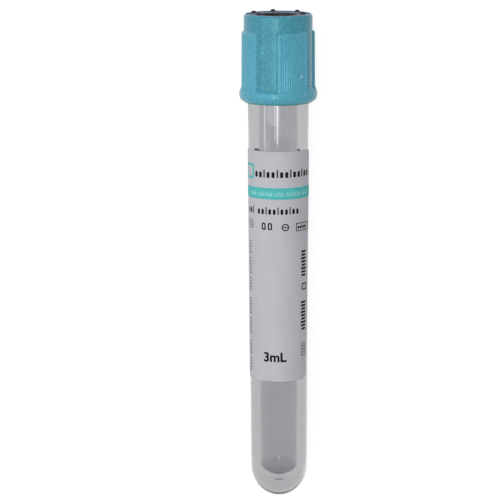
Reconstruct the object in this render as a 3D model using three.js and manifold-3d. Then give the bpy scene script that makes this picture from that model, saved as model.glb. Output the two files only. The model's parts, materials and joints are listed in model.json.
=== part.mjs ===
// Evacuated blood collection tube, 13 x 100 mm, 3 mL, with a push-on safety closure.
//
// Four pieces, as they come apart on a bench: a thick-walled moulded tube with a round
// bottom, a label round the tube's front half, a rubber stopper with a plug, and a
// plastic cap with grip pads that carries the stopper.
//
// Each piece is drawn upright on its own axis (+Y, closed end of the tube at 0), and the
// whole is then laid on the table as it comes to rest: on the flange of the cap and on
// the shoulder of the round bottom. Millimetres, +Z up, cap towards +Y.

import * as THREE from 'three';
import { mergeVertices } from 'three/addons/utils/BufferGeometryUtils.js';
import Module from 'manifold-3d';

const wasm = await Module();
wasm.setup();

// ---------------------------------------------------------------- driving dimensions

const FACETS = 60; // flat sides of every turned surface
const FLANGE_FACETS = 16; // the flange has fewer, each broad enough to rest on
const ARC_STEPS = 4; // straight pieces in a quarter round
const PAD_STEPS = 10; // flat sides across a smooth stretch of a grip pad

const tube = {
  length: 100,
  mouthDiameter: 13.3,
  baseDiameter: 12.4, // where the round bottom begins
  domeHeight: 7.0, // of the round bottom, a little longer than a half ball
  boreMouthDiameter: 8.65,
  boreBaseDiameter: 8.0,
  floorThickness: 4.25, // under the bore, on the axis
  boreCornerRadius: 3.4,
  lipRadius: 0.35,
  gateDiameter: 1.8, // moulding gate, a shallow dimple in the pole of the bottom
  gateDepth: 0.25,
};

const label = {
  fromMouth: 21.6, // top edge of the label to the mouth of the tube
  height: 50.9,
  width: 20, // round the tube, whose back stays bare to show the filling level
  thickness: 0.1,
  edgeAngle: 78, // right-hand edge, degrees from the front
  cornerRadius: 1.6,
};

const cap = {
  overlap: 11.5, // how far the skirt covers the tube
  height: 19.1,
  wall: 0.55, // of the neck
  neckHeight: 3.5, // plain band above the grip pads
  neckEdgeWidth: 0.5, // the neck's top edge is a quarter ellipse
  neckEdgeHeight: 0.8,
  flangeHeight: 2.8,
  flangeProud: 1.03, // beyond the neck
  flangeTopRadius: 0.45,
  flangeFootWidth: 0.95, // the flange's lower edge is a quarter ellipse
  flangeFootHeight: 1.45,
  lipHeight: 0.25, // thin edge of the skirt below the flange
  beadHeight: 1.4, // inner bead that snaps into the stopper
  beadProud: 0.35,
  beadAboveMouth: 2.2,
};

const grip = {
  pads: 4,
  firstPadAngle: 25.6, // degrees from the front to the middle of a pad
  padAngle: 58.7,
  proud: 0.48, // beyond the neck
  borderAngle: 8, // smooth strip along each side of a pad
  borderHeight: 0.65, // smooth strip along the top of a pad
  ribs: 11,
  ribDepth: 0.25,
  ribDrop: 0.04, // crests lie this far under the smooth strips
};

const stopper = {
  headSink: 0.05, // top face under the rim of the cap
  recessDiameter: 8.2, // where the needle goes in
  recessDepth: 4.6,
  plugLength: 8,
  plugRecessDiameter: 4.6,
  plugRecessDepth: 7.2,
  plugChamfer: 0.5,
  edgeRadius: 0.3,
  nubs: 6,
  nubDiameter: 1.15,
  nubHeight: 0.65,
  nubCircleDiameter: 11.1,
  firstNubAngle: 11,
};

// clearances between pieces
const fit = {
  label: 0.04, // glue line under the label
  capOnTube: 0.25, // radial, at the mouth
  stopperInCap: 0.1, // radial
  plugInBore: 0.06, // radial
  beadInGroove: 0.15, // radial
  grooveEnds: 0.3, // above and below the bead
  seat: 0.05, // stopper on the mouth of the tube
};

// ---------------------------------------------------------------- sizes worked out

const radians = THREE.MathUtils.degToRad;
const mouthRadius = tube.mouthDiameter / 2;
const baseRadius = tube.baseDiameter / 2;
const wallSlope = (mouthRadius - baseRadius) / (tube.length - tube.domeHeight);
const outerRadiusAt = (y) => baseRadius + wallSlope * (y - tube.domeHeight);

const boreMouthRadius = tube.boreMouthDiameter / 2;
const boreBaseRadius = tube.boreBaseDiameter / 2;
const boreSlope = (boreMouthRadius - boreBaseRadius) / (tube.length - tube.floorThickness);
const boreRadiusAt = (y) => boreBaseRadius + boreSlope * (y - tube.floorThickness);

const capFoot = tube.length - cap.overlap;
const capTop = capFoot + cap.height;
const capBoreRadius = mouthRadius + fit.capOnTube;
const neckRadius = capBoreRadius + cap.wall;
const padRadius = neckRadius + grip.proud;
const flangeRadius = neckRadius + cap.flangeProud;
const flangeTop = capFoot + cap.flangeHeight;
const flangeEdge = capFoot + cap.lipHeight + cap.flangeFootHeight; // where it is widest
const capRootRadius = neckRadius - cap.wall / 2; // what joins the wall starts inside it
const padTop = capTop - cap.neckHeight;
const beadFoot = tube.length + cap.beadAboveMouth;
const beadTop = beadFoot + cap.beadHeight;
const beadRadius = capBoreRadius - cap.beadProud;

const headTop = capTop - stopper.headSink;
const headFoot = tube.length + fit.seat;
const headRadius = capBoreRadius - fit.stopperInCap;
const grooveRadius = beadRadius - fit.beadInGroove;
const plugFoot = tube.length - stopper.plugLength;
const plugRadius = boreRadiusAt(plugFoot) - fit.plugInBore;

// ---------------------------------------------------------------- shape helpers

// Points of an elliptical arc about (x, y), from one angle to another in degrees.
function arc(x, y, width, height, from, to, steps = ARC_STEPS) {
  const points = [];
  for (let i = 0; i <= steps; i++) {
    const angle = radians(from + ((to - from) * i) / steps);
    points.push([x + width * Math.cos(angle), y + height * Math.sin(angle)]);
  }
  return points;
}

// A turned solid. Its flat sides are set so that one of them faces straight down.
function turned(profile, facets = FACETS) {
  const points = profile.map(([x, y]) => new THREE.Vector2(x, y));
  const geometry = new THREE.LatheGeometry(points, facets, Math.PI / facets, Math.PI * 2);
  return facingOut(welded(geometry));
}

function welded(geometry) {
  const bare = geometry.index ? geometry.toNonIndexed() : geometry.clone();
  bare.deleteAttribute('normal');
  bare.deleteAttribute('uv');
  const merged = mergeVertices(bare, 1e-5);
  const kept = [];
  const index = merged.index.array;
  for (let i = 0; i < index.length; i += 3) {
    const [a, b, c] = [index[i], index[i + 1], index[i + 2]];
    if (a !== b && b !== c && c !== a) kept.push(a, b, c);
  }
  merged.setIndex(kept);
  return merged;
}

function signedVolume(geometry) {
  const position = geometry.attributes.position;
  const corner = [new THREE.Vector3(), new THREE.Vector3(), new THREE.Vector3()];
  const index = geometry.index.array;
  let volume = 0;
  for (let i = 0; i < index.length; i += 3) {
    corner.forEach((point, k) => point.fromBufferAttribute(position, index[i + k]));
    volume += corner[0].dot(corner[1].clone().cross(corner[2])) / 6;
  }
  return volume;
}

function facingOut(geometry) {
  if (signedVolume(geometry) > 0) return geometry;
  const index = Array.from(geometry.index.array);
  for (let i = 0; i < index.length; i += 3) {
    [index[i + 1], index[i + 2]] = [index[i + 2], index[i + 1]];
  }
  geometry.setIndex(index);
  return geometry;
}

function toSolid(geometry) {
  return new wasm.Manifold(
    new wasm.Mesh({
      numProp: 3,
      vertProperties: new Float32Array(geometry.attributes.position.array),
      triVerts: new Uint32Array(geometry.index.array),
    }),
  );
}

function toGeometry(solid) {
  const mesh = solid.getMesh();
  const geometry = new THREE.BufferGeometry();
  geometry.setAttribute('position', new THREE.BufferAttribute(mesh.vertProperties, 3));
  geometry.setIndex(new THREE.BufferAttribute(mesh.triVerts, 1));
  return geometry;
}

// ---------------------------------------------------------------- tube

function tubeGeometry() {
  const gateRadius = tube.gateDiameter / 2;
  const gateAngle = Math.asin(gateRadius / baseRadius);
  const gateEdge = tube.domeHeight * (1 - Math.cos(gateAngle));
  const gateStart = -90 + THREE.MathUtils.radToDeg(gateAngle);
  const corner = tube.boreCornerRadius;
  const cornerTop = tube.floorThickness + corner;
  const cornerX = boreRadiusAt(cornerTop) - corner;
  const lip = tube.lipRadius;
  return turned([
    [0, gateEdge + tube.gateDepth],
    [gateRadius * 0.7, gateEdge + tube.gateDepth],
    ...arc(0, tube.domeHeight, baseRadius, tube.domeHeight, gateStart, 0, 2 * ARC_STEPS),
    ...arc(mouthRadius - lip, tube.length - lip, lip, lip, 0, 90, 2),
    ...arc(boreMouthRadius + lip, tube.length - lip, lip, lip, 90, 180, 2),
    ...arc(cornerX, cornerTop, corner, corner, 0, -90),
    [0, tube.floorThickness],
  ]);
}

// ---------------------------------------------------------------- label

// Distance from the axis to the flat sides of a turned surface, at an angle in degrees.
function facetRadius(radius, angle) {
  const side = 360 / FACETS;
  const fromMiddle = THREE.MathUtils.euclideanModulo(angle + side / 2, side) - side / 2;
  return (radius * Math.cos(radians(side / 2))) / Math.cos(radians(fromMiddle));
}

// A sheet laid on the tapered wall, with rounded corners. It is a row of columns,
// one at each corner of the tube's flat sides and a few more round the sheet's corners.
function labelGeometry() {
  const top = tube.length - label.fromMouth;
  const foot = top - label.height;
  const middleRadius = outerRadiusAt((top + foot) / 2);
  const last = label.edgeAngle;
  const first = last - THREE.MathUtils.radToDeg(label.width / middleRadius);
  const cornerAngle = THREE.MathUtils.radToDeg(label.cornerRadius / middleRadius);
  const side = 360 / FACETS;

  const angles = [];
  for (let i = 0; i <= ARC_STEPS; i++) {
    const inset = cornerAngle * (1 - Math.cos(radians((90 * i) / ARC_STEPS)));
    angles.push(first + inset, last - inset);
  }
  const firstSide = Math.ceil((first + cornerAngle) / side - 0.5 + 1e-6);
  for (let k = firstSide; (k + 0.5) * side < last - cornerAngle - 1e-6; k++) {
    angles.push((k + 0.5) * side);
  }
  angles.sort((a, b) => a - b);

  const positions = [];
  for (const angle of angles) {
    const fromEnd = Math.min(angle - first, last - angle, cornerAngle) / cornerAngle;
    const drop = label.cornerRadius * (1 - Math.sqrt(Math.max(0, 1 - (1 - fromEnd) ** 2)));
    for (const y of [foot + drop, top - drop]) {
      for (const height of [fit.label, fit.label + label.thickness]) {
        const radius = facetRadius(outerRadiusAt(y) + height, angle);
        positions.push(radius * Math.sin(radians(angle)), y, radius * Math.cos(radians(angle)));
      }
    }
  }

  // corners of a column: foot inner, foot outer, top inner, top outer
  const ring = [0, 1, 3, 2];
  const index = [];
  const quad = (a, b, c, d) => index.push(a, b, c, a, c, d);
  for (let i = 0; i + 1 < angles.length; i++) {
    ring.forEach((corner, k) => {
      const next = ring[(k + 1) % ring.length];
      quad(4 * i + corner, 4 * i + next, 4 * (i + 1) + next, 4 * (i + 1) + corner);
    });
  }
  const end = 4 * (angles.length - 1);
  quad(ring[3], ring[2], ring[1], ring[0]);
  quad(end + ring[0], end + ring[1], end + ring[2], end + ring[3]);

  const geometry = new THREE.BufferGeometry();
  geometry.setAttribute('position', new THREE.Float32BufferAttribute(positions, 3));
  geometry.setIndex(index);
  return facingOut(geometry);
}

// ---------------------------------------------------------------- stopper

function stopperGeometry() {
  const recessRadius = stopper.recessDiameter / 2;
  const plugRecessRadius = stopper.plugRecessDiameter / 2;
  const edge = stopper.edgeRadius;
  const body = turned([
    [0, plugFoot + stopper.plugRecessDepth],
    [plugRecessRadius, plugFoot + stopper.plugRecessDepth],
    [plugRecessRadius, plugFoot],
    [plugRadius - stopper.plugChamfer, plugFoot],
    [plugRadius, plugFoot + stopper.plugChamfer],
    [plugRadius, headFoot],
    [headRadius - edge, headFoot],
    [headRadius, headFoot + edge],
    [headRadius, beadFoot - fit.grooveEnds],
    [grooveRadius, beadFoot - fit.grooveEnds],
    [grooveRadius, beadTop + fit.grooveEnds],
    [headRadius, beadTop + fit.grooveEnds],
    ...arc(headRadius - edge, headTop - edge, edge, edge, 0, 90, 2),
    ...arc(recessRadius + edge, headTop - edge, edge, edge, 90, 180, 2),
    [recessRadius, headTop - stopper.recessDepth],
    [0, headTop - stopper.recessDepth],
  ]);

  let solid = toSolid(body);
  const nubRadius = stopper.nubDiameter / 2;
  const nubRoot = 0.3; // how far a nub is carried down into the head
  const dome = stopper.nubHeight / 2;
  const nubFacets = 12;
  for (let i = 0; i < stopper.nubs; i++) {
    const nub = turned(
      [
        [0, -nubRoot],
        [nubRadius, -nubRoot],
        ...arc(0, stopper.nubHeight - dome, nubRadius, dome, 0, 90, 3),
      ],
      nubFacets,
    );
    const angle = radians(stopper.firstNubAngle + (360 / stopper.nubs) * i);
    const reach = stopper.nubCircleDiameter / 2;
    nub.translate(reach * Math.sin(angle), headTop, reach * Math.cos(angle));
    solid = solid.add(toSolid(nub));
  }
  return toGeometry(solid);
}

// ---------------------------------------------------------------- cap

function capBody() {
  const edgeWidth = cap.neckEdgeWidth;
  const edgeHeight = cap.neckEdgeHeight;
  return turned([
    [capBoreRadius, capFoot],
    [neckRadius, capFoot],
    ...arc(neckRadius - edgeWidth, capTop - edgeHeight, edgeWidth, edgeHeight, 0, 90),
    [capBoreRadius, capTop],
    [capBoreRadius, beadTop],
    [beadRadius, beadTop - cap.beadProud],
    [beadRadius, beadFoot + cap.beadProud],
    [capBoreRadius, beadFoot],
    [capBoreRadius, capFoot],
  ]);
}

// The flange's flat sides touch its true circle at their middles.
function flangeGeometry() {
  const spread = 1 / Math.cos(Math.PI / FLANGE_FACETS);
  const topRadius = cap.flangeTopRadius;
  const profile = [
    [capRootRadius, capFoot + cap.lipHeight],
    ...arc(flangeRadius - cap.flangeFootWidth, flangeEdge,
      cap.flangeFootWidth, cap.flangeFootHeight, -90, 0),
    ...arc(flangeRadius - topRadius, flangeTop - topRadius, topRadius, topRadius, 0, 90, 3),
    [capRootRadius, flangeTop],
    [capRootRadius, capFoot + cap.lipHeight],
  ];
  return turned(profile.map(([x, y]) => [x > capRootRadius ? x * spread : x, y]), FLANGE_FACETS);
}

// A slice of a grip pad between two heights, smooth or with fine upright ribs between
// its smooth side strips. The outline starts inside the wall of the cap.
function padSlice(middleAngle, foot, top, ribbed) {
  const first = middleAngle - grip.padAngle / 2;
  const crest = padRadius - grip.ribDrop;
  const pitch = (grip.padAngle - 2 * grip.borderAngle) / grip.ribs;
  const outline = [];
  const add = (radius, angle) => outline.push([radius, first + angle]);
  const addStrip = (from, to, steps) => {
    for (let i = 0; i <= steps; i++) add(padRadius, from + ((to - from) * i) / steps);
  };

  if (ribbed) {
    addStrip(0, grip.borderAngle, 2);
    for (let i = 0; i < grip.ribs; i++) {
      add(crest - grip.ribDepth, grip.borderAngle + pitch * (i + 0.12));
      add(crest, grip.borderAngle + pitch * (i + 0.5));
      add(crest - grip.ribDepth, grip.borderAngle + pitch * (i + 0.88));
    }
    addStrip(grip.padAngle - grip.borderAngle, grip.padAngle, 2);
  } else {
    addStrip(0, grip.padAngle, PAD_STEPS);
  }
  for (let i = 0; i <= PAD_STEPS; i++) add(capRootRadius, grip.padAngle * (1 - i / PAD_STEPS));

  const points = outline.map(([radius, angle]) => new THREE.Vector2(
    radius * Math.sin(radians(angle)),
    -radius * Math.cos(radians(angle)),
  ));
  const geometry = new THREE.ExtrudeGeometry(new THREE.Shape(points), {
    depth: top - foot,
    bevelEnabled: false,
    steps: 1,
  });
  geometry.rotateX(-Math.PI / 2);
  geometry.translate(0, foot, 0);
  return toSolid(facingOut(welded(geometry)));
}

// One raised pad, carried down into the flange.
function pad(middleAngle) {
  const root = flangeTop - cap.flangeHeight / 4;
  const ribTop = padTop - grip.borderHeight;
  return padSlice(middleAngle, root, ribTop, true)
    .add(padSlice(middleAngle, ribTop, padTop, false));
}

function capGeometry() {
  let solid = toSolid(capBody()).add(toSolid(flangeGeometry()));
  for (let i = 0; i < grip.pads; i++) {
    solid = solid.add(pad(grip.firstPadAngle + (360 / grip.pads) * i));
  }
  return toGeometry(solid);
}

// ---------------------------------------------------------------- pieces and pose

function piece(name, geometry, colour, roughness, metalness = 0, extra = {}) {
  const material = new THREE.MeshStandardMaterial({ color: colour, roughness, metalness, ...extra });
  const mesh = new THREE.Mesh(geometry, material);
  mesh.name = name;
  return mesh;
}

const upright = new THREE.Group();
upright.add(piece('tube', tubeGeometry(), 0xdfe3e2, 0.08, 0, { transparent: true, opacity: 0.45 }));
upright.add(piece('label', labelGeometry(), 0xbdbdc5, 0.6));
upright.add(piece('stopper', stopperGeometry(), 0x4c4650, 0.75));
upright.add(piece('cap', capGeometry(), 0x5aa0b2, 0.35));

// At rest the piece leans on the widest edge of the flange and on the shoulder of the
// round bottom, so the axis climbs towards the cap.
const flatRadius = baseRadius * Math.cos(Math.PI / FACETS); // to the middle of a flat side
const lean = Math.atan((flangeRadius - flatRadius) / (flangeEdge - tube.domeHeight));
upright.rotation.x = lean;

const part = new THREE.Group();
part.add(upright);
part.updateMatrixWorld(true);
const box = new THREE.Box3().setFromObject(part, true);
const centre = box.getCenter(new THREE.Vector3());
upright.position.set(-centre.x, -centre.y, -box.min.z);
part.updateMatrixWorld(true);

export default part;
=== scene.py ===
"""Visual model of an evacuated blood collection tube with a push-on safety cap.

The tube lies on a pale table with its cap away from the viewer. Every piece is modelled
upright in millimetres, closed end of the tube at height 0, front towards -Y and +X to the
right, and is then laid where the frame's own tube lies, in metres.
"""

import json
import logging
import math
from collections import defaultdict
from collections.abc import Callable, Iterator, Sequence
from contextlib import contextmanager
from dataclasses import dataclass
from enum import Enum

import bmesh
import bpy
from bpy.types import Material, Node, NodeSocket, NodeTree, Object
from mathutils import Matrix, Vector

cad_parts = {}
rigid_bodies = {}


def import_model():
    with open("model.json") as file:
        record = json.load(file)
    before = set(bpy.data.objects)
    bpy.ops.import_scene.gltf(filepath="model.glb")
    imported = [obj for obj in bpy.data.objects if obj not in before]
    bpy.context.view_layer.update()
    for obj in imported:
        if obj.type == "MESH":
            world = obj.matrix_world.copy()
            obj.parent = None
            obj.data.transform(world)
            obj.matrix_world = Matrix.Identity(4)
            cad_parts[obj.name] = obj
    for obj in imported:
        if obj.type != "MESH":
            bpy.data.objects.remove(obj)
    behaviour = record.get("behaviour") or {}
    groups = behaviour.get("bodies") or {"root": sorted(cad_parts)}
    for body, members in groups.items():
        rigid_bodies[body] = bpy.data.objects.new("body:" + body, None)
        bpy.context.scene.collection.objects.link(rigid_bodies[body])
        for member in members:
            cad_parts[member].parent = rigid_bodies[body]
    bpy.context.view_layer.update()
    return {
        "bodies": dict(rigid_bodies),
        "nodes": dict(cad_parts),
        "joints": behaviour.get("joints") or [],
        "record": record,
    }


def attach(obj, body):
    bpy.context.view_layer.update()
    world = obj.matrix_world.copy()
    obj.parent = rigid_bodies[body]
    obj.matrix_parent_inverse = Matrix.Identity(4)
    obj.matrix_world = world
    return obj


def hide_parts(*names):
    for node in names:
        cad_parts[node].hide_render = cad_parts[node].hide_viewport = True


LOG = logging.getLogger("blood_tube")
MM = 0.001  # metres in a millimetre
RIGHT = Vector((1.0, 0.0, 0.0))  # across the tube, level with the table
UPRIGHT = (math.pi / 2, 0.0, 0.0)  # turn that stands a flat sheet up, with its face to the front
WHITE = (1.0, 1.0, 1.0, 1.0)

Pair = tuple[float, float]
Outline = list[Pair]
Colour = tuple[float, float, float, float]


# ------------------------------------------------------------------ small sums


def arc(
    centre: Pair,
    width: float,
    height: float,
    start: float,
    end: float,
    steps: int = 6,
) -> Outline:
    """Work out the points of an elliptical arc.

    Args:
        centre: Centre of the ellipse, as radius and height.
        width: Half width of the ellipse.
        height: Half height of the ellipse.
        start: First angle, in degrees from the outward direction.
        end: Last angle, in degrees.
        steps: Number of straight pieces.

    Returns:
        The points in order, both ends included.
    """
    points = []
    for step in range(steps + 1):
        angle = math.radians(start + (end - start) * step / steps)
        points.append((centre[0] + width * math.cos(angle), centre[1] + height * math.sin(angle)))
    return points


def clamp01(value: float) -> float:
    """Keep a number between 0 and 1."""
    return min(max(value, 0.0), 1.0)


def soft_ramp(distance: float, width: float) -> float:
    """Height, 0 to 1, of a softly moulded edge at a distance from where it starts."""
    across = clamp01(distance / width)
    return across * across * (3.0 - 2.0 * across)


def paint(red: int, green: int, blue: int) -> Colour:
    """Turn a colour given as on a screen, 0 to 255, into the linear one a shader takes.

    Args:
        red: Level of red.
        green: Level of green.
        blue: Level of blue.

    Returns:
        The linear colour, opaque.
    """

    def linear(level: int) -> float:
        """Undo the screen's curve on one level."""
        share = level / 255.0
        return share / 12.92 if share <= 0.04045 else ((share + 0.055) / 1.055) ** 2.4

    return (linear(red), linear(green), linear(blue), 1.0)


def facing(across: Vector, upward: Vector, outward: Vector) -> Matrix:
    """Turn of a lamp or camera whose own axes point in three given directions."""
    return Matrix((across, upward, outward)).transposed().to_4x4()


# ------------------------------------------------------------------ where it lies


@dataclass(frozen=True)
class Resting:
    """Where the tube lies: the way from upright millimetres to the frame.

    Args:
        origin: Pole of the closed end, in metres.
        axis: Unit vector along the tube, towards the cap.
    """

    origin: Vector
    axis: Vector

    @classmethod
    def from_frame(cls, frame: dict, seat_height: float) -> "Resting":
        """Read the pose from the frame.

        Args:
            seat_height: Height of the needle's seat on the upright tube, in mm.

        Returns:
            The pose of the resting tube.
        """
        axis = Vector(frame["joints"][0]["axis"]).normalized()
        seat = Vector(frame["record"]["mounts"][0]["pos_m"])
        return cls(origin=seat - axis * seat_height * MM, axis=axis)

    @property
    def front(self) -> Vector:
        """Unit vector out of the front of the label, away from the table."""
        return RIGHT.cross(self.axis).normalized()

    @property
    def turn(self) -> Matrix:
        """Rotation from the upright axes to the frame's."""
        return Matrix((RIGHT, -self.front, self.axis)).transposed()

    @property
    def matrix(self) -> Matrix:
        """Whole way from upright millimetres to metres in the frame."""
        return Matrix.Translation(self.origin) @ self.turn.to_4x4() @ Matrix.Scale(MM, 4)

    def point(self, right: float, front: float, along: float) -> Vector:
        """Place a point, given in mm to the right, to the front and along the tube."""
        return self.matrix @ Vector((right, -front, along))


# ------------------------------------------------------------------ the bench


class SelectMode(Enum):
    """What an edit-mode operator works on."""

    POINTS = "VERT"
    FACES = "FACE"


class Workpiece:
    """One mesh on the bench, shaped with Blender's own operators."""

    def __init__(self, add: Callable[[], object], name: str) -> None:
        """Add the primitive with nothing else selected.

        Args:
            add: Operator that adds it.
            name: Name of the object and of its mesh.
        """
        bpy.ops.object.select_all(action="DESELECT")
        add()
        self.thing: Object = bpy.context.object
        self.thing.name = name
        self.thing.data.name = name

    @classmethod
    def turned(cls, name: str, outline: Outline, sides: int) -> "Workpiece":
        """Turn an outline round the upright axis into a closed shell.

        Args:
            name: Name of the piece.
            outline: Radius and height of each point, from axis to axis or closed on itself.
            sides: Number of columns round the axis.

        Returns:
            The turned piece.
        """
        piece = cls(lambda: bpy.ops.mesh.primitive_plane_add(size=1.0), name)
        with piece.editing():
            bpy.ops.mesh.select_all(action="SELECT")
            bpy.ops.mesh.merge(type="CENTER")
            bpy.ops.transform.translate(value=(outline[0][0], 0.0, outline[0][1]))
            for (radius, height), (next_radius, next_height) in zip(outline, outline[1:]):
                step = (next_radius - radius, 0.0, next_height - height)
                bpy.ops.mesh.extrude_region_move(TRANSFORM_OT_translate={"value": step})
            bpy.ops.mesh.select_all(action="SELECT")
            bpy.ops.mesh.spin(steps=sides, angle=math.tau, center=(0, 0, 0), axis=(0, 0, 1))
            bpy.ops.mesh.select_all(action="SELECT")
            bpy.ops.mesh.remove_doubles(threshold=1e-4)
            bpy.ops.mesh.normals_make_consistent(inside=False)
        return piece

    def pick(self) -> None:
        """Make this piece the only one selected, and the active one."""
        bpy.ops.object.select_all(action="DESELECT")
        self.thing.select_set(True)
        bpy.context.view_layer.objects.active = self.thing

    @contextmanager
    def editing(self, mode: SelectMode = SelectMode.POINTS) -> Iterator[None]:
        """Hold the piece in edit mode for the length of a with block.

        Args:
            mode: What the operators in the block work on.

        Yields:
            Nothing.
        """
        self.pick()
        bpy.ops.object.mode_set(mode="EDIT")
        bpy.ops.mesh.select_mode(type=mode.value)
        yield
        bpy.ops.object.mode_set(mode="OBJECT")

    def select_points(self, chosen: set[int]) -> None:
        """Select points in edit mode.

        Args:
            chosen: Their numbers.
        """
        mesh = bmesh.from_edit_mesh(self.thing.data)
        for point in mesh.verts:
            point.select_set(point.index in chosen)
        mesh.select_flush_mode()
        bmesh.update_edit_mesh(self.thing.data, loop_triangles=False, destructive=False)

    def swell(self, reach: Callable[[Vector], float | None]) -> None:
        """Push points away from the upright axis.

        Args:
            reach: Gives the distance a point moves outwards, or None to leave it.
        """
        groups: dict[Pair, set[int]] = defaultdict(set)
        for point in self.thing.data.vertices:
            distance = reach(point.co)
            if distance:
                groups[(round(point.co.xy.length, 3), round(distance, 4))].add(point.index)
        with self.editing():
            for (radius, distance), chosen in groups.items():
                self.select_points(chosen)
                factor = 1.0 + distance / radius
                bpy.ops.transform.resize(
                    value=(factor, factor, 1.0),
                    constraint_axis=(True, True, False),
                    center_override=(0.0, 0.0, 0.0),
                )

    def slice_across(self, positions: Sequence[float]) -> None:
        """Cut the piece by upright planes, so that it can be rolled.

        Args:
            positions: Where the planes cross the X axis.
        """
        with self.editing():
            for position in positions:
                bpy.ops.mesh.select_all(action="SELECT")
                bpy.ops.mesh.bisect(plane_co=(position, 0.0, 0.0), plane_no=(1.0, 0.0, 0.0))

    def modify(self, kind: str, **settings: object) -> None:
        """Add a modifier and apply it.

        Args:
            kind: Its type.
            **settings: Its properties.
        """
        self.pick()
        modifier = self.thing.modifiers.new(kind.title(), kind)
        for name, value in settings.items():
            setattr(modifier, name, value)
        bpy.ops.object.modifier_apply(modifier=modifier.name)

    def reshape(self, rule: Callable[[Vector], Vector]) -> None:
        """Move every point to where a rule sends it, as when a sheet is rolled."""
        for point in self.thing.data.vertices:
            point.co = rule(point.co)

    def join(self, others: Sequence["Workpiece"]) -> None:
        """Make other pieces part of this one.

        Args:
            others: The pieces, which are used up.
        """
        self.pick()
        for other in others:
            other.thing.select_set(True)
        bpy.ops.object.join()

    def smooth(self, degrees: float) -> None:
        """Shade smoothly, apart from edges sharper than an angle."""
        self.pick()
        bpy.ops.object.shade_smooth_by_angle(angle=math.radians(degrees))

    def lay(self, matrix: Matrix, finish: Material) -> Object:
        """Put the piece in its place and dress it.

        Args:
            matrix: From the piece's own millimetres to the frame.
            finish: Its material.

        Returns:
            The finished object, at the origin with its place in its mesh.
        """
        self.thing.data.transform(matrix)
        self.thing.data.materials.clear()
        self.thing.data.materials.append(finish)
        self.thing.data.update()
        return self.thing


# ------------------------------------------------------------------ shader writing


class Wiring:
    """The nodes of one tree, each added by the same method.

    Args:
        tree: The tree.
    """

    def __init__(self, tree: NodeTree) -> None:
        """Take up a tree."""
        self.tree = tree

    def node(
        self,
        kind: str,
        settings: dict[str, object] | None = None,
        sockets: dict[str | int, object] | None = None,
    ) -> Node:
        """Add a node of any kind.

        Args:
            kind: Type of the node.
            settings: Its own properties, which are set first.
            sockets: Value or link of each input, by name or number.

        Returns:
            The new node.
        """
        node = self.tree.nodes.new(kind)
        for name, value in (settings or {}).items():
            setattr(node, name, value)
        for key, value in (sockets or {}).items():
            self.feed(node.inputs[key], value)
        return node

    def feed(self, socket: NodeSocket, value: object) -> None:
        """Link a socket or give it a constant.

        Args:
            socket: The input.
            value: A signal, another socket or a constant.
        """
        if isinstance(value, Signal):
            value = value.socket
        if isinstance(value, NodeSocket):
            self.tree.links.new(value, socket)
        else:
            socket.default_value = value


class Signal:
    """A number in a shader, on which sums are written as in Python.

    Args:
        wiring: The tree it is in.
        socket: Where it comes out.
    """

    def __init__(self, wiring: Wiring, socket: NodeSocket) -> None:
        """Wrap a socket."""
        self.wiring = wiring
        self.socket = socket

    def _maths(self, operation: str, *terms: "Signal | float") -> "Signal":
        """Add a Math node whose terms are given in order."""
        node = self.wiring.node("ShaderNodeMath", {"operation": operation}, dict(enumerate(terms)))
        return Signal(self.wiring, node.outputs[0])

    def __add__(self, other: "Signal | float") -> "Signal":
        """Add."""
        return self._maths("ADD", self, other)

    __radd__ = __add__

    def __mul__(self, other: "Signal | float") -> "Signal":
        """Multiply."""
        return self._maths("MULTIPLY", self, other)

    __rmul__ = __mul__

    def __sub__(self, other: "Signal | float") -> "Signal":
        """Take away."""
        return self._maths("SUBTRACT", self, other)

    def __rsub__(self, other: float) -> "Signal":
        """Take this away from a number."""
        return self._maths("SUBTRACT", other, self)

    def __pow__(self, power: float) -> "Signal":
        """Raise to a power."""
        return self._maths("POWER", self, power)

    def over(self, other: "Signal | float") -> "Signal":
        """The larger of two."""
        return self._maths("MAXIMUM", self, other)

    def root(self) -> "Signal":
        """Square root."""
        return self._maths("SQRT", self)

    def step(self, low: float, high: float) -> "Signal":
        """Ease from 0 to 1.

        Args:
            low: Value where it is 0.
            high: Value where it is 1, which may be the lower one.

        Returns:
            The eased number.
        """
        node = self.wiring.node(
            "ShaderNodeMapRange",
            {"interpolation_type": "SMOOTHSTEP"},
            {"Value": self, "From Min": low, "From Max": high},
        )
        return Signal(self.wiring, node.outputs[0])


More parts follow.
